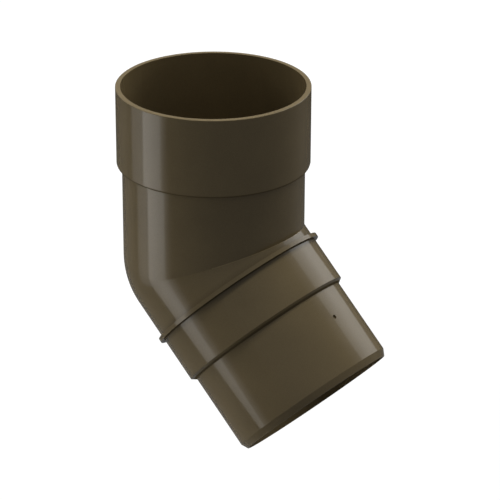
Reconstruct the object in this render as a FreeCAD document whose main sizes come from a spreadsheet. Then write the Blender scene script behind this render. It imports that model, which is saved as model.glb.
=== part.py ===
import FreeCAD, Part
import math
import os
import re
import Sketcher

# Downspout elbow, moulded as one piece, in millimetres.
# The socket stands upright with the middle of its mouth at the origin, and opens towards +Z.
# The leg leaves the bend down and towards +X, and ends in the spigot that the next pipe slides over.
# Both axes lie in the XZ plane. "The crossing" is the point where they meet.

SIZES = [
    ("PipeDiameter", 85.0, "outside of the pipe that the elbow joins"),
    ("PipeWall", 2.0, "wall of that pipe"),
    ("SocketClearance", 0.2, "upper pipe to socket, on the radius"),
    ("SpigotClearance", 0.35, "spigot to lower pipe, on the radius"),
    ("Wall", 2.3, "wall of the elbow"),
    ("SocketDepth", 34.9, "mouth to the ledge that the upper pipe stands on"),
    ("MouthToCrossing", 83.65, "mouth to the crossing"),
    ("BendAngle", 45.0, "turn of the leg away from straight down, degrees"),
    ("RingFromCrossing", 20.0, "crossing to the near side of the ring, along the leg"),
    ("RingWidth", 1.9, "ring along the leg"),
    ("RingHeight", 2.0, "ring above the collar"),
    ("CollarFromCrossing", 45.4, "crossing to the end of the collar, along the leg"),
    ("BevelLength", 1.45, "bevel at the collar's end, along the leg"),
    ("BevelHeight", 2.1, "bevel at the collar's end, on the radius"),
    ("SpigotLength", 40.4, "collar's end to the spigot's end"),
    ("LeadLength", 3.2, "lead-in at the spigot's end, along the leg"),
    ("LeadHeight", 1.65, "lead-in at the spigot's end, on the radius"),
    ("MouthRound", 0.3, "rounding of the mouth's outer edge"),
    ("ShoulderRound", 0.3, "rounding of the socket's lower edge"),
    ("GateFromCrossing", 59.2, "crossing to the gate mark, along the leg"),
    ("GateDiameter", 2.0, "gate mark"),
    ("GateDepth", 0.9, "gate mark below the spigot's surface"),
]

FOLLOWING_SIZES = [
    ("BodyRadius", "PipeDiameter / 2"),
    ("BodyBore", "BodyRadius - Wall"),
    ("SocketBore", "BodyRadius + SocketClearance"),
    ("SocketRadius", "SocketBore + Wall"),
    ("SocketHeight", "SocketDepth + Wall"),
    ("RingEnd", "RingFromCrossing + RingWidth"),
    ("RingRadius", "BodyRadius + RingHeight"),
    ("BevelStart", "CollarFromCrossing - BevelLength"),
    ("BevelRadius", "BodyRadius - BevelHeight"),
    ("SpigotRadius", "BodyRadius - PipeWall - SpigotClearance"),
    ("SpigotBore", "SpigotRadius - Wall"),
    ("SpigotEnd", "CollarFromCrossing + SpigotLength"),
    ("LeadStart", "SpigotEnd - LeadLength"),
    ("LeadRadius", "SpigotRadius - LeadHeight"),
]

# A sketch counts its own axes down from -1, the origin being the start of the first,
# and the points of a curve up from 1.
Y_AXIS, X_AXIS = range(-2, 0)
ORIGIN = X_AXIS
START, END, CENTRE = range(1, 4)

doc = FreeCAD.newDocument("DownspoutElbow")
sheet = doc.addObject("Spreadsheet::Sheet", "Sizes")


def fill_sheet():
    """The sizes that can be set, and below them those that follow."""
    for row, (name, value, meaning) in enumerate(SIZES, start=1):
        sheet.set(f"A{row}", meaning)
        sheet.set(f"B{row}", str(value))
        sheet.setAlias(f"B{row}", name)
    for row, (name, formula) in enumerate(FOLLOWING_SIZES, start=len(SIZES) + 1):
        sheet.set(f"A{row}", formula)
        sheet.set(f"B{row}", f"={formula}")
        sheet.setAlias(f"B{row}", name)
    doc.recompute()


def from_sheet(formula):
    """The formula with each size in it read from the sheet."""
    return re.sub(r"([A-Z]\w+)", r"Sizes.\1", formula)


def origin_plane(body, role):
    return next(plane for plane in body.Origin.OriginFeatures if plane.Role == role)


def axial_sketch(body, name, height, turn):
    """A sketch in the XZ plane whose x is a radius and whose y runs along a pipe's axis.

    Its origin lies on the socket's axis at the given height, and its y axis is turned
    that many degrees from straight up, over +X.
    """
    sketch = body.newObject("Sketcher::SketchObject", name)
    sketch.AttachmentSupport = [(origin_plane(body, "XZ_Plane"), "")]
    sketch.MapMode = "FlatFace"
    over_x = FreeCAD.Rotation(FreeCAD.Vector(0, 0, -1), 180)
    sketch.AttachmentOffset = FreeCAD.Placement(FreeCAD.Vector(), over_x)
    sketch.setExpression(".AttachmentOffset.Base.y", from_sheet(height))
    sketch.setExpression(".AttachmentOffset.Rotation.Angle", from_sheet(turn))
    return sketch


def socket_sketch(body, name):
    """y runs down the socket's axis from the mouth."""
    return axial_sketch(body, name, "0", "180")


def leg_sketch(body, name):
    """y runs down the leg's axis from the crossing."""
    return axial_sketch(body, name, "-MouthToCrossing", "180 - BendAngle")


def hold_point(sketch, curve, point, name, radius, along):
    """Hold a point at a radius and a distance along the axis, both read from the sheet."""
    for kind, size, axis in (("DistanceX", radius, Y_AXIS), ("DistanceY", along, X_AXIS)):
        if size == "0":
            sketch.addConstraint(Sketcher.Constraint("PointOnObject", curve, point, axis))
            continue
        number = sketch.addConstraint(Sketcher.Constraint(kind, ORIGIN, START, curve, point, value(size)))
        sketch.renameConstraint(number, f"{name}{kind[-1]}")
        sketch.setExpression(f"Constraints.{name}{kind[-1]}", from_sheet(size))


def outline(sketch, corners, domed=False):
    """A closed profile through corners of (name, radius, distance along the axis).

    A domed one goes from its last corner but one to its last, which is on the axis,
    along a quarter circle about the axis.
    """
    def place(radius, along):
        return FreeCAD.Vector(value(radius), value(along), 0)

    count = len(corners)
    for number, (name, radius, along) in enumerate(corners):
        next_name, next_radius, next_along = corners[(number + 1) % count]
        if domed and number == count - 2:
            circle = Part.Circle(place("0", along), FreeCAD.Vector(0, 0, 1), value(radius))
            sketch.addGeometry(Part.ArcOfCircle(circle, 0, math.pi / 2))
            sketch.addConstraint(Sketcher.Constraint("PointOnObject", number, CENTRE, Y_AXIS))
        else:
            sketch.addGeometry(Part.LineSegment(place(radius, along), place(next_radius, next_along)))
    for number, (name, radius, along) in enumerate(corners):
        sketch.addConstraint(Sketcher.Constraint("Coincident", number, END, (number + 1) % count, START))
        hold_point(sketch, number, START, name, radius, along)


def value(formula):
    """A formula's number, so that a sketch starts out in its final shape."""
    return float(sheet.evalExpression(from_sheet(formula)))


def turn_profile(body, kind, name, sketch):
    """A Revolution adds the turned profile, and a Groove cuts it away."""
    feature = body.newObject(f"PartDesign::{kind}", name)
    feature.Profile = sketch
    feature.ReferenceAxis = (sketch, ["V_Axis"])
    feature.Angle = 360
    sketch.Visibility = False
    doc.recompute()
    return feature


def socket_edge(shape, height):
    """The name of the circular edge on the socket's outside that is the nearest to that height."""
    def miss(number):
        circle = shape.Edges[number - 1].Curve
        return abs(circle.Radius - value("SocketRadius")) + abs(circle.Center.z - value(height))

    circles = [
        number for number, edge in enumerate(shape.Edges, start=1)
        if isinstance(edge.Curve, Part.Circle)
    ]
    return f"Edge{min(circles, key=miss)}"


def round_edge(body, name, base, height, rounding):
    """Round the socket's outer edge at that height."""
    fillet = body.newObject("PartDesign::Fillet", name)
    fillet.Base = (base, [socket_edge(base.Shape, height)])
    fillet.setExpression("Radius", from_sheet(rounding))
    doc.recompute()
    return fillet


def add_outside(body):
    """The socket with the body below it, domed about the crossing, then the leg.

    The dome is the outer half of the bend. On the inner half the two pipes meet in a mitre.
    """
    upper = socket_sketch(body, "UpperOutline")
    outline(upper, [
        ("MouthMiddle", "0", "0"),
        ("MouthEdge", "SocketRadius", "0"),
        ("SocketCorner", "SocketRadius", "SocketHeight"),
        ("SocketRoot", "BodyRadius", "SocketHeight"),
        ("BendStart", "BodyRadius", "MouthToCrossing"),
        ("BendBottom", "0", "MouthToCrossing + BodyRadius"),
    ], domed=True)
    turn_profile(body, "Revolution", "Upper", upper)

    leg = leg_sketch(body, "LegOutline")
    outline(leg, [
        ("Crossing", "0", "0"),
        ("LegStart", "BodyRadius", "0"),
        ("RingNearRoot", "BodyRadius", "RingFromCrossing"),
        ("RingNearEdge", "RingRadius", "RingFromCrossing"),
        ("RingFarEdge", "RingRadius", "RingEnd"),
        ("RingFarRoot", "BodyRadius", "RingEnd"),
        ("BevelTop", "BodyRadius", "BevelStart"),
        ("BevelFoot", "BevelRadius", "CollarFromCrossing"),
        ("SpigotRoot", "SpigotRadius", "CollarFromCrossing"),
        ("LeadTop", "SpigotRadius", "LeadStart"),
        ("LeadFoot", "LeadRadius", "SpigotEnd"),
        ("EndMiddle", "0", "SpigotEnd"),
    ])
    turn_profile(body, "Revolution", "Leg", leg)


def cut_inside(body):
    """The upper core's hollow, drawn out of the socket, and the leg's, drawn out of the spigot."""
    upper = socket_sketch(body, "UpperHollow")
    outline(upper, [
        ("HollowTop", "0", "0"),
        ("HollowEdge", "SocketBore", "0"),
        ("LedgeOuter", "SocketBore", "SocketDepth"),
        ("LedgeInner", "BodyBore", "SocketDepth"),
        ("HollowBend", "BodyBore", "MouthToCrossing"),
        ("HollowBottom", "0", "MouthToCrossing + BodyBore"),
    ], domed=True)
    turn_profile(body, "Groove", "UpperBore", upper)

    leg = leg_sketch(body, "LegHollow")
    outline(leg, [
        ("BoreCrossing", "0", "0"),
        ("BoreStart", "SpigotBore", "0"),
        ("BoreEnd", "SpigotBore", "SpigotEnd"),
        ("BoreMiddle", "0", "SpigotEnd"),
    ])
    return turn_profile(body, "Groove", "LegBore", leg)


def cut_gate_mark(body):
    """A small round pit where the plastic was let in, on the side of the spigot that faces up."""
    sketch = body.newObject("Sketcher::SketchObject", "GateOutline")
    sketch.AttachmentSupport = [(origin_plane(body, "XY_Plane"), "")]
    sketch.MapMode = "FlatFace"
    over_x = FreeCAD.Rotation(FreeCAD.Vector(0, 1, 0), value("90 - BendAngle"))
    sketch.AttachmentOffset = FreeCAD.Placement(FreeCAD.Vector(), over_x)
    places = {
        "Base.x": "GateFromCrossing * sin(BendAngle) + SpigotRadius * cos(BendAngle)",
        "Base.z": "SpigotRadius * sin(BendAngle) - GateFromCrossing * cos(BendAngle) - MouthToCrossing",
        "Rotation.Angle": "90 - BendAngle",
    }
    for part, formula in places.items():
        sketch.setExpression(f".AttachmentOffset.{part}", from_sheet(formula))
    circle = Part.Circle(FreeCAD.Vector(), FreeCAD.Vector(0, 0, 1), value("GateDiameter / 2"))
    sketch.addGeometry(circle)
    sketch.addConstraint(Sketcher.Constraint("Coincident", 0, CENTRE, ORIGIN, START))
    number = sketch.addConstraint(Sketcher.Constraint("Diameter", 0, value("GateDiameter")))
    sketch.renameConstraint(number, "Across")
    sketch.setExpression("Constraints.Across", from_sheet("GateDiameter"))

    pocket = body.newObject("PartDesign::Pocket", "GateMark")
    pocket.Profile = sketch
    pocket.Type = "Length"
    pocket.setExpression("Length", from_sheet("GateDepth"))
    sketch.Visibility = False
    doc.recompute()
    return pocket


def make_elbow():
    body = doc.addObject("PartDesign::Body", "Elbow")
    body.Label = "elbow"
    add_outside(body)
    hollowed = cut_inside(body)
    mouth = round_edge(body, "MouthFillet", hollowed, "0", "MouthRound")
    round_edge(body, "ShoulderFillet", mouth, "-SocketHeight", "ShoulderRound")
    cut_gate_mark(body)
    return body


def check(body):
    """Every feature has worked, each cut has taken something away, and the piece is one solid."""
    for item in doc.Objects:
        if {"Invalid", "Error"} & set(item.State):
            raise RuntimeError(f"{item.Name} failed: {item.State}")
    for feature in body.Group:
        if feature.TypeId in ("PartDesign::Groove", "PartDesign::Pocket"):
            if feature.Shape.Volume >= feature.BaseFeature.Shape.Volume:
                raise RuntimeError(f"{feature.Name} cuts nothing")
    if body.Shape.isNull() or not body.Shape.isValid() or len(body.Shape.Solids) != 1:
        raise RuntimeError(f"{body.Label} is not one sound solid")


fill_sheet()
elbow = make_elbow()
doc.recompute()
check(elbow)
os.makedirs("parts", exist_ok=True)
elbow.Shape.exportStep(f"parts/{elbow.Label}.step")
print(f"{elbow.Label}: {elbow.Shape.Volume:.1f} cubic millimetres")
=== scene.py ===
import math
from collections import namedtuple

import bpy
from mathutils import Matrix, Vector

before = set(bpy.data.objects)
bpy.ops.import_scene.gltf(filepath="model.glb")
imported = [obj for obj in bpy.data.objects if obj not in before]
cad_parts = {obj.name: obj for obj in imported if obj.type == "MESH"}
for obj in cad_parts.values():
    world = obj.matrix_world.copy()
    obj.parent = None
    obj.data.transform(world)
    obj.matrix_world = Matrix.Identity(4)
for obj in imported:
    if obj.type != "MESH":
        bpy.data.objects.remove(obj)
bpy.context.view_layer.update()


def tan(degrees):
    return math.tan(math.radians(degrees))


def towards(azimuth, elevation):
    """The direction at an azimuth and an elevation in degrees. Azimuth 0 is +X and 90 is +Y."""
    a, e = math.radians(azimuth), math.radians(elevation)
    return Vector((math.cos(a) * math.cos(e), math.sin(a) * math.cos(e), math.sin(e)))


# Camera, fitted to the outline in the photograph
CAMERA_PLACE = Vector((0.686754, -0.875195, 0.420875))
CAMERA_YAW = math.radians(37.244)
CAMERA_PITCH = math.radians(-24.365)
CAMERA_ROLL = math.radians(0.188)
SENSOR_WIDTH = 36.0
LENS = 186.68
CLIP_START, CLIP_END = 0.1, 30.0

# The two pipe axes: one down from the socket's mouth, one along the leg from where they cross
MOUTH = Vector((0.0, 0.0, 0.0))
BEND_CENTRE = Vector((0.0, 0.0, -0.08365))
DOWN = Vector((0.0, 0.0, -1.0))
LEG = towards(0.0, -45.0)
ACROSS_CREASE = (-DOWN - LEG).normalized()

# Plastic
BASE_COLOR = (0.165, 0.125, 0.0633)
ROUGHNESS = 0.085
IOR = 1.5
GLOSS = 0.5
Noise = namedtuple("Noise", "scale detail roughness")
CLOUD = Noise(45.0, 3.0, 0.5)
FLECK = Noise(2200.0, 2.0, 0.6)
WAVE = Noise(70.0, 1.0, 0.5)
NOISE_LOW, NOISE_HIGH = 0.3, 0.7
CLOUD_TONE = 0.05
FLECK_TONE = 0.07
CLOUD_ROUGHNESS = 0.02
FLECK_ROUGHNESS = 0.02
WAVE_HEIGHT, WAVE_STRENGTH = 0.0001, 0.25
FLECK_HEIGHT, FLECK_STRENGTH = 0.00001, 0.35

# Places on the surface, in metres along the axes and from them
SOCKET_RADIUS = 0.045
LEG_RADIUS = 0.0425
BEVEL_RADIUS = 0.0410
SPIGOT_RADIUS = 0.04015
RING_TOP, RING_FOOT = 0.0200, 0.0219
COLLAR_FOOT = 0.04541
SKIN, BEVEL_SKIN = 0.0008, 0.00125
BEVEL_LINE = 0.00056

# Painted shade and painted light on the plastic. Each is a belt round an axis, between two lengths along it,
# no further than its reach from its radius. The tone is what it does to the colour: below one is darker,
# above one is lighter.
Mark = namedtuple("Mark", "start direction near far radius reach tone")
DULL_GLOSS = 0.1
# Painted shade: thin dark lines under the steps, where shade falls. They also dull the gloss.
DULL_PAINTED_SHADE_LINES = (
    # Painted shade under the socket's lower edge
    Mark(MOUTH, DOWN, near=0.03652, far=0.03728, radius=SOCKET_RADIUS, reach=SKIN, tone=0.6),
    # Painted shade under the ring
    Mark(BEND_CENTRE, LEG, near=RING_FOOT, far=RING_FOOT + 0.0005, radius=LEG_RADIUS, reach=SKIN, tone=0.76),
    # Painted shade on the lower part of the collar's bevel
    Mark(
        BEND_CENTRE, LEG, near=COLLAR_FOOT - BEVEL_LINE, far=COLLAR_FOOT,
        radius=BEVEL_RADIUS, reach=BEVEL_SKIN, tone=0.6,
    ),
    # Painted shade under the collar
    Mark(
        BEND_CENTRE, LEG, near=COLLAR_FOOT, far=COLLAR_FOOT + 0.00044,
        radius=SPIGOT_RADIUS, reach=SKIN, tone=0.58,
    ),
)
# Painted light: a lighter rim and a painted highlight along the crease.
PAINTED_LIGHT_LINES = (
    # The rim, painted lighter where the light falls on it
    Mark(MOUTH, DOWN, near=-0.0002, far=0.0002, radius=0.0438, reach=0.002, tone=1.2),
    # A painted highlight along the crease
    Mark(BEND_CENTRE, ACROSS_CREASE, near=-0.00018, far=0.00018, radius=0.0451, reach=0.0013, tone=1.4),
)
# These are full at the near length and fade to nothing at the far one.
SHADES = (
    # Above the ring
    Mark(BEND_CENTRE, LEG, near=RING_TOP, far=RING_TOP - 0.0027, radius=LEG_RADIUS, reach=SKIN, tone=0.81),
    # Below the ring
    Mark(BEND_CENTRE, LEG, near=RING_FOOT, far=RING_FOOT + 0.0031, radius=LEG_RADIUS, reach=SKIN, tone=0.54),
)

# Wide, even lights. The level is that of white paper that faces the light.
SkyLight = namedtuple("SkyLight", "name azimuth elevation width level")
SKY_LIGHTS = (
    SkyLight("zenith_light", 0.0, 88.0, 20.0, 0.37),
    SkyLight("front_light", -60.0, 15.0, 100.0, 0.015),
    SkyLight("back_light", 152.5, 43.0, 40.0, 0.16),
    SkyLight("back_left_light", 145.0, 8.0, 60.0, 0.6),
    SkyLight("left_light", 180.0, 10.0, 60.0, 0.56),
    SkyLight("far_light", 90.0, 10.0, 60.0, 0.78),
    SkyLight("right_light", 20.0, 10.0, 60.0, 0.069),
)
SKY_LIGHT_DISTANCE = 2.0

# Upright softboxes round the bend, at a distance from it. Left and right are azimuths, low and high are
# elevations. In a fade, the light grows from nothing at the dark azimuth or elevation to all at the full one.
Softbox = namedtuple("Softbox", "name left right low high distance radiance fades")
Fade = namedtuple("Fade", "axis dark full power")
FAR, NEAR = 1.1, 0.35
WARM = (1.0, 0.98, 0.94)
LOW_FADE = Fade("elevation", dark=-39.0, full=-22.0, power=1.2)
WARM_SOFTBOXES = (
    Softbox(
        "left_panel", left=-141.5, right=-116.0, low=-39.0, high=-4.0, distance=FAR, radiance=2.0,
        fades=(Fade("azimuth", dark=-98.0, full=-130.0, power=0.5), LOW_FADE),
    ),
    Softbox(
        "left_panel_right_side", left=-116.0, right=-104.0, low=-36.0, high=-4.0, distance=FAR, radiance=1.5,
        fades=(
            Fade("azimuth", dark=-104.0, full=-116.0, power=1.8),
            Fade("elevation", dark=-36.0, full=-8.0, power=1.0),
        ),
    ),
    Softbox(
        "left_panel_left_side", left=-162.0, right=-141.5, low=-39.0, high=40.0, distance=FAR, radiance=0.85,
        fades=(Fade("azimuth", dark=-174.0, full=-141.5, power=1.0), LOW_FADE),
    ),
)
SOFTBOXES = (
    Softbox(
        "right_panel", left=52.0, right=90.0, low=1.5, high=55.0, distance=FAR, radiance=1.75,
        fades=(
            Fade("azimuth", dark=30.0, full=76.0, power=1.0),
            Fade("elevation", dark=-12.0, full=21.0, power=1.0),
        ),
    ),
    Softbox(
        "right_panel_side", left=34.0, right=52.0, low=1.5, high=55.0, distance=FAR, radiance=0.36,
        fades=(Fade("azimuth", dark=34.0, full=52.0, power=1.0),),
    ),
)
SOFTBOX_WITHOUT_HIGHLIGHT = Softbox(
    "left_panel_low", left=-155.0, right=-116.5, low=-60.0, high=-32.0, distance=NEAR, radiance=3.3, fades=(),
)

# What the gloss reflects: a dark sky above, and a darker card below, darkest low down behind the object
SKY = 0.168
SKY_TOP = 2.4
CARD = 0.137
CARD_HEIGHT = -0.75
CARD_RADIUS = 2.2
CARD_TOP = 0.45
CARD_BACK = 0.02
BACK = towards(126.0, 0.0)
BACK_START, BACK_END = 0.5 * CARD_RADIUS, 0.9 * CARD_RADIUS
BACK_HEIGHT = -0.1

# Floor, a dish that rises round the object
FLOOR_COLOR = (0.15, 0.15, 0.15)
FLOOR_GLOW = 0.94
FLOOR_HEIGHT = -1.0
FLOOR_FLAT = 3.0
FLOOR_CURVE = 2.5
FLOOR_STEPS = 12
FLOOR_RADIUS = 9.8
FLOOR_SLOPE = math.radians(30)

# Turned sheets have a tiny hole in the middle
HOLE = 0.001
ROUND_STEPS = 96


def node_tree(material):
    material.use_nodes = True
    tree = material.node_tree
    tree.nodes.clear()
    return tree


def add_node(tree, kind, **settings):
    node = tree.nodes.new(kind)
    for name, value in settings.items():
        setattr(node, name, value)
    return node


def noise(tree, place, kind):
    node = add_node(tree, "ShaderNodeTexNoise")
    node.inputs["Scale"].default_value = kind.scale
    node.inputs["Detail"].default_value = kind.detail
    node.inputs["Roughness"].default_value = kind.roughness
    tree.links.new(place, node.inputs["Vector"])
    return node.outputs["Fac"]


def remap(tree, value, low, high, new_low, new_high):
    node = add_node(tree, "ShaderNodeMapRange")
    node.inputs["From Min"].default_value = low
    node.inputs["From Max"].default_value = high
    node.inputs["To Min"].default_value = new_low
    node.inputs["To Max"].default_value = new_high
    tree.links.new(value, node.inputs["Value"])
    return node.outputs["Result"]


def spread(tree, value, middle, by):
    """Noise, brought to lie about a middle."""
    return remap(tree, value, NOISE_LOW, NOISE_HIGH, middle - by, middle + by)


def combine(tree, operation, *values):
    node = add_node(tree, "ShaderNodeMath", operation=operation)
    for socket, value in zip(node.inputs, values):
        if isinstance(value, float):
            socket.default_value = value
        else:
            tree.links.new(value, socket)
    return node.outputs[0]


def shade(tree, value, color):
    scale = add_node(tree, "ShaderNodeVectorMath", operation="SCALE")
    scale.inputs[0].default_value = color
    tree.links.new(value, scale.inputs["Scale"])
    return scale.outputs["Vector"]


def bump(tree, height, distance, strength, normal=None):
    node = add_node(tree, "ShaderNodeBump")
    node.inputs["Distance"].default_value = distance
    node.inputs["Strength"].default_value = strength
    tree.links.new(height, node.inputs["Height"])
    if normal is not None:
        tree.links.new(normal, node.inputs["Normal"])
    return node.outputs["Normal"]


def along(tree, place, direction):
    """How far a place lies along a direction."""
    node = add_node(tree, "ShaderNodeVectorMath", operation="DOT_PRODUCT")
    tree.links.new(place, node.inputs[0])
    node.inputs[1].default_value = direction
    return node.outputs["Value"]


def length_along(tree, place, mark):
    """The vector from a mark's start, and its length along the mark's axis."""
    from_start = add_node(tree, "ShaderNodeVectorMath", operation="SUBTRACT")
    tree.links.new(place, from_start.inputs[0])
    from_start.inputs[1].default_value = mark.start
    return from_start.outputs["Vector"], along(tree, from_start.outputs["Vector"], mark.direction)


def belt(tree, place, mark):
    """One on the mark and nothing elsewhere."""
    from_start, length = length_along(tree, place, mark)
    across = add_node(tree, "ShaderNodeVectorMath", operation="CROSS_PRODUCT")
    tree.links.new(from_start, across.inputs[0])
    across.inputs[1].default_value = mark.direction
    away = add_node(tree, "ShaderNodeVectorMath", operation="LENGTH")
    tree.links.new(across.outputs["Vector"], away.inputs[0])
    at_length = combine(tree, "COMPARE", length, (mark.near + mark.far) / 2, abs(mark.far - mark.near) / 2)
    at_radius = combine(tree, "COMPARE", away.outputs["Value"], mark.radius, mark.reach)
    return combine(tree, "MULTIPLY", at_length, at_radius)


def soft_belt(tree, place, mark):
    """One at the mark's near length, and nothing from its far length on."""
    _, length = length_along(tree, place, mark)
    fade = remap(tree, length, mark.near, mark.far, 1.0, 0.0)
    return combine(tree, "MULTIPLY", belt(tree, place, mark), fade)


def moulded_plastic():
    """Olive brown plastic with a satin gloss, cloudy in tone, finely grained and slightly wavy."""
    material = bpy.data.materials.new("moulded_plastic")
    tree = node_tree(material)
    place = add_node(tree, "ShaderNodeTexCoord").outputs["Object"]
    cloud, fleck, wave = (noise(tree, place, kind) for kind in (CLOUD, FLECK, WAVE))

    cloud_tone = spread(tree, cloud, 1.0, CLOUD_TONE)
    tone = combine(tree, "MULTIPLY", cloud_tone, spread(tree, fleck, 1.0, FLECK_TONE))
    dull = None
    # Painted shade and painted light change the tone here; the painted shade lines also dull the gloss.
    for marks, shape in ((DULL_PAINTED_SHADE_LINES, belt), (PAINTED_LIGHT_LINES, belt), (SHADES, soft_belt)):
        for mark in marks:
            here = shape(tree, place, mark)
            tone = combine(tree, "MULTIPLY", tone, remap(tree, here, 0.0, 1.0, 1.0, mark.tone))
            if marks is DULL_PAINTED_SHADE_LINES:
                dull = here if dull is None else combine(tree, "MAXIMUM", dull, here)
    cloud_rough = spread(tree, cloud, ROUGHNESS, CLOUD_ROUGHNESS)
    rough = combine(tree, "ADD", cloud_rough, spread(tree, fleck, 0.0, FLECK_ROUGHNESS))
    surface = bump(tree, wave, WAVE_HEIGHT, WAVE_STRENGTH)
    surface = bump(tree, fleck, FLECK_HEIGHT, FLECK_STRENGTH, surface)

    shader = add_node(tree, "ShaderNodeBsdfPrincipled")
    shader.inputs["IOR"].default_value = IOR
    tree.links.new(shade(tree, tone, BASE_COLOR), shader.inputs["Base Color"])
    tree.links.new(combine(tree, "MAXIMUM", rough, dull), shader.inputs["Roughness"])
    tree.links.new(remap(tree, dull, 0.0, 1.0, GLOSS, DULL_GLOSS), shader.inputs["Specular IOR Level"])
    tree.links.new(surface, shader.inputs["Normal"])
    out = add_node(tree, "ShaderNodeOutputMaterial")
    tree.links.new(shader.outputs["BSDF"], out.inputs["Surface"])
    return material


def seen_directly(tree):
    """One where the camera, a mirror or a glass looks, nothing where light bounces."""
    rays = add_node(tree, "ShaderNodeLightPath").outputs
    seen = combine(tree, "MAXIMUM", rays["Is Camera Ray"], rays["Is Glossy Ray"])
    return combine(tree, "MAXIMUM", seen, rays["Is Transmission Ray"])


def pale_floor():
    """A matt grey that takes shadows, lifted to white where it is seen."""
    material = bpy.data.materials.new("pale_floor")
    tree = node_tree(material)
    matte = add_node(tree, "ShaderNodeBsdfDiffuse")
    matte.inputs["Color"].default_value = (*FLOOR_COLOR, 1.0)
    glow = add_node(tree, "ShaderNodeEmission")
    tree.links.new(combine(tree, "MULTIPLY", seen_directly(tree), FLOOR_GLOW), glow.inputs["Strength"])
    both = add_node(tree, "ShaderNodeAddShader")
    tree.links.new(matte.outputs["BSDF"], both.inputs[0])
    tree.links.new(glow.outputs["Emission"], both.inputs[1])
    out = add_node(tree, "ShaderNodeOutputMaterial")
    tree.links.new(both.outputs["Shader"], out.inputs["Surface"])
    return material


def glowing(name, level, back_level):
    """A grey that is the same whatever light falls on it, with another level low down behind the object."""
    material = bpy.data.materials.new(name)
    tree = node_tree(material)
    place = add_node(tree, "ShaderNodeTexCoord").outputs["Object"]
    behind = remap(tree, along(tree, place, BACK), BACK_START, BACK_END, 0.0, 1.0)
    low = remap(tree, along(tree, place, -DOWN), BACK_HEIGHT, CARD_HEIGHT, 0.0, 1.0)
    grey = remap(tree, combine(tree, "MULTIPLY", behind, low), 0.0, 1.0, level, back_level)
    shader = add_node(tree, "ShaderNodeEmission")
    tree.links.new(grey, shader.inputs["Strength"])
    out = add_node(tree, "ShaderNodeOutputMaterial")
    tree.links.new(shader.outputs["Emission"], out.inputs["Surface"])
    return material


def turned(name, profile, material):
    """A round sheet, turned from (radius, height) points that run outwards."""
    vertices = []
    faces = []
    for radius, height in profile:
        for i in range(ROUND_STEPS):
            angle = 2 * math.pi * i / ROUND_STEPS
            vertices.append((radius * math.cos(angle), radius * math.sin(angle), height))
    for ring in range(len(profile) - 1):
        low = ring * ROUND_STEPS
        high = low + ROUND_STEPS
        for i in range(ROUND_STEPS):
            j = (i + 1) % ROUND_STEPS
            faces.append((low + i, high + i, high + j, low + j))
    mesh = bpy.data.meshes.new(name)
    mesh.from_pydata(vertices, [], faces)
    for polygon in mesh.polygons:
        polygon.use_smooth = True
    mesh.materials.append(material)
    sheet = bpy.data.objects.new(name, mesh)
    bpy.context.scene.collection.objects.link(sheet)
    return sheet


def add_lamp(light, place, outward):
    """Hangs a lamp at a place so that it shines inwards."""
    lamp = bpy.data.objects.new(light.name, light)
    lamp.location = place
    lamp.rotation_mode = "QUATERNION"
    lamp.rotation_quaternion = outward.to_track_quat("Z", "Y")
    bpy.context.scene.collection.objects.link(lamp)
    return lamp


def add_sky_light(sky_light):
    light = bpy.data.lights.new(sky_light.name, "SUN")
    light.energy = sky_light.level * math.pi
    light.angle = math.radians(sky_light.width)
    outward = towards(sky_light.azimuth, sky_light.elevation)
    lamp = add_lamp(light, outward * SKY_LIGHT_DISTANCE, outward)
    lamp.visible_glossy = False


def add_softbox(box):
    middle = (box.left + box.right) / 2
    half = tan((box.right - box.left) / 2)
    bottom, top = tan(box.low), tan(box.high)
    light = bpy.data.lights.new(box.name, "AREA")
    light.shape = "RECTANGLE"
    light.size = 2 * box.distance * half
    light.size_y = box.distance * (top - bottom)
    light.energy = box.radiance * math.pi * light.size * light.size_y
    if box.fades:
        light.use_nodes = True
        tree = light.node_tree
        place = add_node(tree, "ShaderNodeSeparateXYZ")
        tree.links.new(add_node(tree, "ShaderNodeNewGeometry").outputs["Parametric"], place.inputs[0])
        level = 1.0
        for fade in box.fades:
            if fade.axis == "azimuth":
                dark, full = (0.5 + tan(v - middle) / (2 * half) for v in (fade.dark, fade.full))
                across = place.outputs["X"]
            else:
                dark, full = ((tan(v) - bottom) / (top - bottom) for v in (fade.dark, fade.full))
                across = place.outputs["Y"]
            rise = remap(tree, across, dark, full, 0.0, 1.0)
            level = combine(tree, "MULTIPLY", level, combine(tree, "POWER", rise, fade.power))
        tree.links.new(level, tree.nodes["Emission"].inputs["Strength"])
    outward = towards(middle, 0.0)
    up = Vector((0.0, 0.0, (bottom + top) / 2))
    lamp = add_lamp(light, BEND_CENTRE + box.distance * (outward + up), outward)
    lamp.visible_camera = False
    return lamp


def add_lights():
    for sky_light in SKY_LIGHTS:
        add_sky_light(sky_light)
    for box in WARM_SOFTBOXES:
        add_softbox(box).data.color = WARM
    for box in SOFTBOXES:
        add_softbox(box)
    add_softbox(SOFTBOX_WITHOUT_HIGHLIGHT).visible_glossy = False


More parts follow.
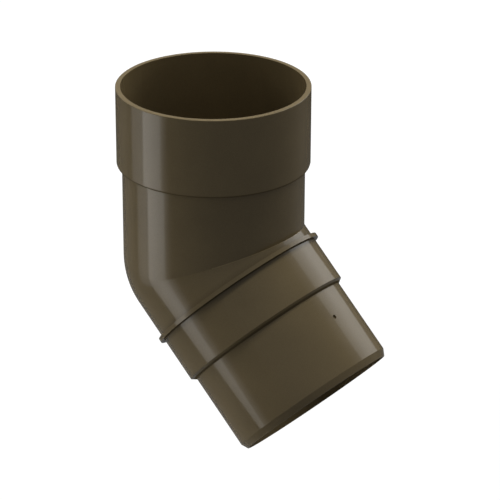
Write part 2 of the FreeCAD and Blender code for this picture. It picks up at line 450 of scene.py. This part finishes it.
def add_camera():
    yaw, pitch, roll = CAMERA_YAW, CAMERA_PITCH, CAMERA_ROLL
    forward = Vector((-math.sin(yaw) * math.cos(pitch), math.cos(yaw) * math.cos(pitch), math.sin(pitch)))
    side = Vector((math.cos(yaw), math.sin(yaw), 0.0))
    up = side.cross(forward)
    c, s = math.cos(roll), math.sin(roll)
    side, up = c * side + s * up, c * up - s * side
    turn = Matrix((side, up, -forward)).transposed().to_4x4()
    data = bpy.data.cameras.new("camera")
    data.sensor_fit = "HORIZONTAL"
    data.sensor_width = SENSOR_WIDTH
    data.lens = LENS
    data.clip_start = CLIP_START
    data.clip_end = CLIP_END
    camera = bpy.data.objects.new("camera", data)
    camera.matrix_world = Matrix.Translation(CAMERA_PLACE) @ turn
    bpy.context.scene.collection.objects.link(camera)
    bpy.context.scene.camera = camera


def add_world():
    """White where it is seen, and the dark sky's grey as a light."""
    world = bpy.data.worlds.new("studio")
    world.use_nodes = True
    tree = world.node_tree
    level = remap(tree, seen_directly(tree), 0.0, 1.0, SKY, 1.0)
    tree.links.new(level, tree.nodes["Background"].inputs["Strength"])
    tree.nodes["Background"].inputs["Color"].default_value = (1.0, 1.0, 1.0, 1.0)
    bpy.context.scene.world = world


def add_floor():
    profile = [(HOLE, FLOOR_HEIGHT), (FLOOR_FLAT, FLOOR_HEIGHT)]
    radius, height = FLOOR_FLAT, FLOOR_HEIGHT
    run = FLOOR_CURVE / FLOOR_STEPS
    for i in range(FLOOR_STEPS):
        radius += run
        height += run * math.tan(FLOOR_SLOPE * (i + 1) / FLOOR_STEPS)
        profile.append((radius, height))
    profile.append((FLOOR_RADIUS, height + (FLOOR_RADIUS - radius) * math.tan(FLOOR_SLOPE)))
    turned("floor", profile, pale_floor())


def add_reflected_surroundings():
    """The dark card and the dark sky, which the gloss sees. The lamps' light passes through both."""
    card = [(HOLE, CARD_HEIGHT), (CARD_RADIUS, CARD_HEIGHT), (CARD_RADIUS, CARD_TOP)]
    sky = [(HOLE, SKY_TOP), (CARD_RADIUS, SKY_TOP), (CARD_RADIUS, CARD_TOP)]
    for name, profile, level, back_level, bounce in (
        ("dark_card", card, CARD, CARD_BACK, True),
        ("dark_sky", sky, SKY, SKY, False),
    ):
        sheet = turned(name, profile, glowing(name, level, back_level))
        sheet.visible_camera = False
        sheet.visible_shadow = False
        sheet.visible_diffuse = bounce


plastic = moulded_plastic()
for material_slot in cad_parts["elbow"].material_slots:
    material_slot.material = plastic

add_camera()
add_world()
add_floor()
add_reflected_surroundings()
add_lights()
bpy.context.scene.view_settings.view_transform = "Standard"
